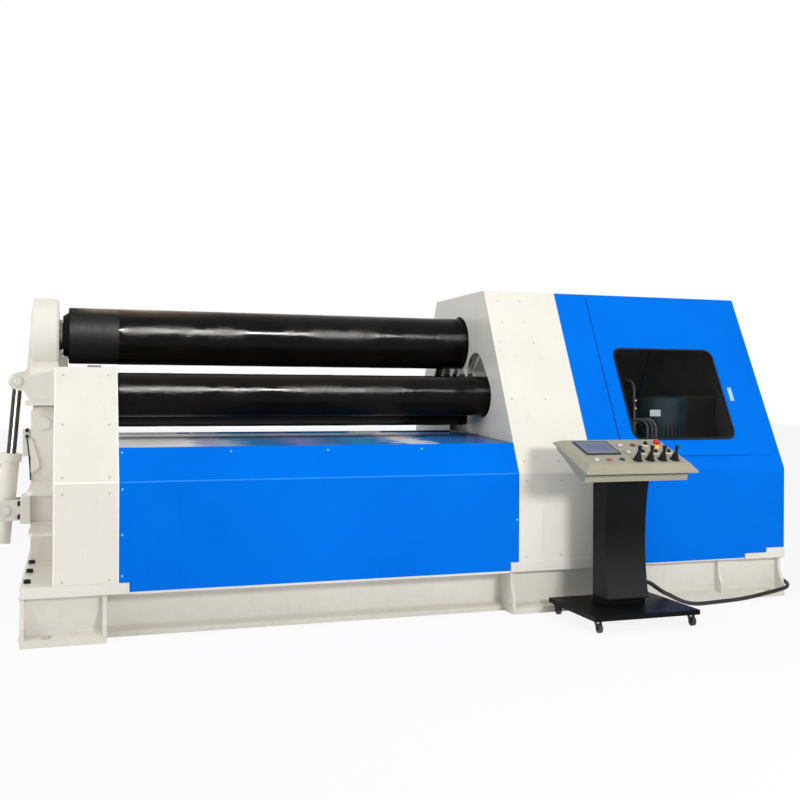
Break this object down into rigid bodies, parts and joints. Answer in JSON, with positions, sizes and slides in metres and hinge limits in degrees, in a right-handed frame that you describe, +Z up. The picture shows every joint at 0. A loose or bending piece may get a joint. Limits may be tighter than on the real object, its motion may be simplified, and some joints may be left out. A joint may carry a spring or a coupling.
{
  "type": "plate rolling machine",
  "caption": "Hydraulic plate rolling machine with pinch rolls, side rolls, a drop end and a wheeled operator console.",
  "frame": {"origin": "centre of the rectangle of anchor bolt holes, at the floor", "axes": "+X along the rolls from the drop end to the drive housing, -Y towards the operator, +Z up"},
  "size_m": [4.7001, 2.451, 1.885],
  "materials": {
    "white_paint": "satin warm white machine paint",
    "pin_steel": "painted over with the machine",
    "blue_paint": "satin bright blue machine paint",
    "window_rubber": "matt black window seal",
    "window_glass": "tinted pane",
    "motor_paint": "dark teal motor paint",
    "tank_paint": "dark grey paint",
    "machined_steel": "machined steel",
    "rod_chrome": "polished hard chrome",
    "roll_steel": "dark oiled steel with a glossy protective film",
    "console_dark": "fine textured charcoal paint",
    "desk_beige": "beige powder coat",
    "screen_glass": "screen with grey bezel",
    "button_plastic": "push buttons and selector switches",
    "lever_plastic": "black knobs and boots",
    "caster_steel": "zinc plated",
    "caster_rubber": "grey rubber tread",
    "cable_rubber": "black corrugated conduit"
  },
  "bodies": {
    "machine": {"left_foot": "white_paint", "middle_beams": "white_paint", "right_foot": "white_paint", "left_frame": "white_paint", "tilt_pedestal": "white_paint", "tilt_pin": "pin_steel", "cylinder_bracket": "white_paint", "right_frame": "white_paint", "left_cover_front": "white_paint", "left_cover_rear": "white_paint", "front_panel": "blue_paint", "rear_panel": "blue_paint", "front_deck": "blue_paint", "rear_deck": "blue_paint", "housing_side": "white_paint", "housing_front": "white_paint", "housing_rear": "white_paint", "housing_roof": "white_paint", "drive_front": "blue_paint", "drive_rear": "blue_paint", "drive_end": "blue_paint", "drive_roof": "blue_paint", "inspection_panel": "blue_paint", "window_seal": "window_rubber", "window_pane": "window_glass", "pump_motor": "motor_paint", "oil_tank": "tank_paint", "console_base": "console_dark", "console_column": "console_dark", "console_desk": "desk_beige", "console_screen": "screen_glass", "console_buttons": "button_plastic", "console_cable": "cable_rubber"},
    "drop_end": {"tilt_housing": "white_paint", "bearing_ring": "machined_steel"},
    "tilt_barrel": {"tilt_cylinder": "white_paint"},
    "tilt_rod": {"tilt_rod": "rod_chrome"},
    "top_roll": {"top_roll": "roll_steel"},
    "bottom_carriage": {"bottom_roll_blocks": "machined_steel"},
    "bottom_roll": {"bottom_roll": "roll_steel"},
    "front_carriage": {"front_roll_blocks": "machined_steel"},
    "front_roll": {"front_roll": "roll_steel"},
    "rear_carriage": {"rear_roll_blocks": "machined_steel"},
    "rear_roll": {"rear_roll": "roll_steel"},
    "lever_1": {"lever_1": "lever_plastic"},
    "lever_2": {"lever_2": "lever_plastic"},
    "lever_3": {"lever_3": "lever_plastic"},
    "lever_4": {"lever_4": "lever_plastic"},
    "caster_1": {"caster_fork_1": "caster_steel"},
    "wheel_1": {"caster_wheel_1": "caster_rubber"},
    "caster_2": {"caster_fork_2": "caster_steel"},
    "wheel_2": {"caster_wheel_2": "caster_rubber"},
    "caster_3": {"caster_fork_3": "caster_steel"},
    "wheel_3": {"caster_wheel_3": "caster_rubber"},
    "caster_4": {"caster_fork_4": "caster_steel"},
    "wheel_4": {"caster_wheel_4": "caster_rubber"}
  },
  "joints": [
    {"name": "top_roll_spin", "type": "hinge", "parent": "machine", "child": "top_roll", "pos_m": [0, 0, 1.574], "axis": [1, 0, 0], "continuous": true},
    {"name": "bottom_roll_lift", "type": "slide", "parent": "machine", "child": "bottom_carriage", "axis": [0, 0, 1], "range_m": [0, 0.08]},
    {"name": "bottom_roll_spin", "type": "hinge", "parent": "bottom_carriage", "child": "bottom_roll", "pos_m": [0, 0, 1.1845], "axis": [1, 0, 0], "continuous": true},
    {"name": "front_roll_lift", "type": "slide", "parent": "machine", "child": "front_carriage", "axis": [0, 0.6428, 0.766], "range_m": [0, 0.18]},
    {"name": "front_roll_spin", "type": "hinge", "parent": "front_carriage", "child": "front_roll", "pos_m": [0, -0.401, 1.234], "axis": [1, 0, 0], "continuous": true},
    {"name": "rear_roll_lift", "type": "slide", "parent": "machine", "child": "rear_carriage", "axis": [0, -0.6428, 0.766], "range_m": [0, 0.18]},
    {"name": "rear_roll_spin", "type": "hinge", "parent": "rear_carriage", "child": "rear_roll", "pos_m": [0, 0.401, 1.234], "axis": [1, 0, 0], "continuous": true},
    {"name": "drop_end_tilt", "type": "hinge", "parent": "machine", "child": "drop_end", "pos_m": [-2.146, 0, 1.07], "axis": [0, -1, 0], "range_deg": [0, 45]},
    {"name": "tilt_cylinder_swing", "type": "hinge", "parent": "machine", "child": "tilt_barrel", "pos_m": [-2.347, 0, 0.578], "axis": [0, -1, 0], "range_deg": [-1, 13]},
    {"name": "tilt_rod_slide", "type": "slide", "parent": "tilt_barrel", "child": "tilt_rod", "axis": [0.082, 0, 0.9966], "range_m": [-0.17, 0.005]},
    {"name": "lever_1_tilt", "type": "hinge", "parent": "machine", "child": "lever_1", "pos_m": [0.909, -1.39039, 0.8932], "axis": [1, 0, 0], "range_deg": [-20, 20], "stiffness_Nm_per_rad": 3},
    {"name": "lever_2_tilt", "type": "hinge", "parent": "machine", "child": "lever_2", "pos_m": [0.986, -1.39039, 0.8932], "axis": [1, 0, 0], "range_deg": [-20, 20], "stiffness_Nm_per_rad": 3},
    {"name": "lever_3_tilt", "type": "hinge", "parent": "machine", "child": "lever_3", "pos_m": [1.063, -1.39039, 0.8932], "axis": [1, 0, 0], "range_deg": [-20, 20], "stiffness_Nm_per_rad": 3},
    {"name": "lever_4_tilt", "type": "hinge", "parent": "machine", "child": "lever_4", "pos_m": [1.14, -1.39039, 0.8932], "axis": [1, 0, 0], "range_deg": [-20, 20], "stiffness_Nm_per_rad": 3},
    {"name": "caster_1_swivel", "type": "hinge", "parent": "machine", "child": "caster_1", "pos_m": [0.632, -1.462, 0.05], "axis": [0, 0, 1], "continuous": true},
    {"name": "wheel_1_spin", "type": "hinge", "parent": "caster_1", "child": "wheel_1", "pos_m": [0.632, -1.476, 0.025], "axis": [1, 0, 0], "continuous": true},
    {"name": "caster_2_swivel", "type": "hinge", "parent": "machine", "child": "caster_2", "pos_m": [1.198, -1.462, 0.05], "axis": [0, 0, 1], "continuous": true},
    {"name": "wheel_2_spin", "type": "hinge", "parent": "caster_2", "child": "wheel_2", "pos_m": [1.198, -1.476, 0.025], "axis": [1, 0, 0], "continuous": true},
    {"name": "caster_3_swivel", "type": "hinge", "parent": "machine", "child": "caster_3", "pos_m": [0.632, -1.002, 0.05], "axis": [0, 0, 1], "continuous": true},
    {"name": "wheel_3_spin", "type": "hinge", "parent": "caster_3", "child": "wheel_3", "pos_m": [0.632, -1.016, 0.025], "axis": [1, 0, 0], "continuous": true},
    {"name": "caster_4_swivel", "type": "hinge", "parent": "machine", "child": "caster_4", "pos_m": [1.198, -1.002, 0.05], "axis": [0, 0, 1], "continuous": true},
    {"name": "wheel_4_spin", "type": "hinge", "parent": "caster_4", "child": "wheel_4", "pos_m": [1.198, -1.016, 0.025], "axis": [1, 0, 0], "continuous": true}
  ],
  "couplings": [
    {"joint": "tilt_cylinder_swing", "follows": "drop_end_tilt", "ratio": 0.266},
    {"joint": "tilt_rod_slide", "follows": "drop_end_tilt", "m_per_rad": -0.205}
  ]
}
